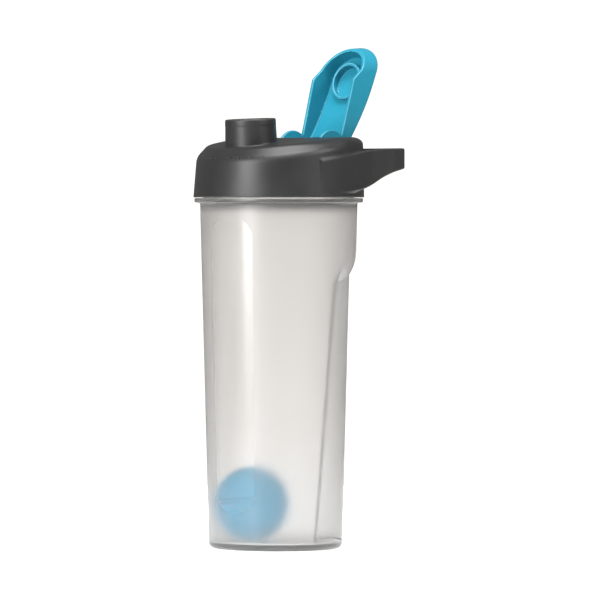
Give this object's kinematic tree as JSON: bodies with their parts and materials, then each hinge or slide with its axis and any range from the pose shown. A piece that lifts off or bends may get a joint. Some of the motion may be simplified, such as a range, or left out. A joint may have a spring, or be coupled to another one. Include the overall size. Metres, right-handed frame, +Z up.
{
  "type": "protein shaker bottle",
  "caption": "Frosted plastic shaker bottle with a dark screw lid, drinking spout, flip cap, carry loop and a loose mixing ball.",
  "frame": {"origin": "centre of the flat base, on the body's axis", "axes": "+Z up along the body, +X from the drinking spout towards the cap hinge and the carry loop, Y parallel to the cap hinge"},
  "size_m": [0.1271, 0.0902, 0.265],
  "materials": {
    "frosted_plastic": "frosted translucent polypropylene with a clear window strip",
    "charcoal_plastic": "satin",
    "blue_plastic": "soft gloss",
    "silicone": "matte",
    "pin_steel": "plain drawn steel"
  },
  "bodies": {
    "bottle": {"bottle_body": "frosted_plastic"},
    "lid_ring": {"lid_gasket": "silicone"},
    "lid": {"lid_shell": "charcoal_plastic", "hinge_pin": "pin_steel"},
    "cap": {"flip_cap": "blue_plastic"},
    "ball": {"mixer_ball_upper": "blue_plastic", "mixer_ball_lower": "blue_plastic"}
  },
  "joints": [
    {"name": "lid_lift", "type": "slide", "parent": "bottle", "child": "lid_ring", "axis": [0, 0, 1], "range_m": [0, 0.0068]},
    {"name": "lid_turn", "type": "hinge", "parent": "lid_ring", "child": "lid", "pos_m": [0, 0, 0.195], "axis": [0, 0, 1], "range_deg": [0, 540]},
    {"name": "cap_hinge", "type": "hinge", "parent": "lid", "child": "cap", "pos_m": [0.0215, 0, 0.213], "axis": [0, 1, 0], "range_deg": [-116, 0]},
    {"name": "ball_rise", "type": "slide", "parent": "bottle", "child": "ball", "axis": [0, 0, 1], "range_m": [0, 0.152]}
  ],
  "couplings": [
    {"joint": "lid_lift", "follows": "lid_turn", "m_per_rad": 0.0007162}
  ]
}
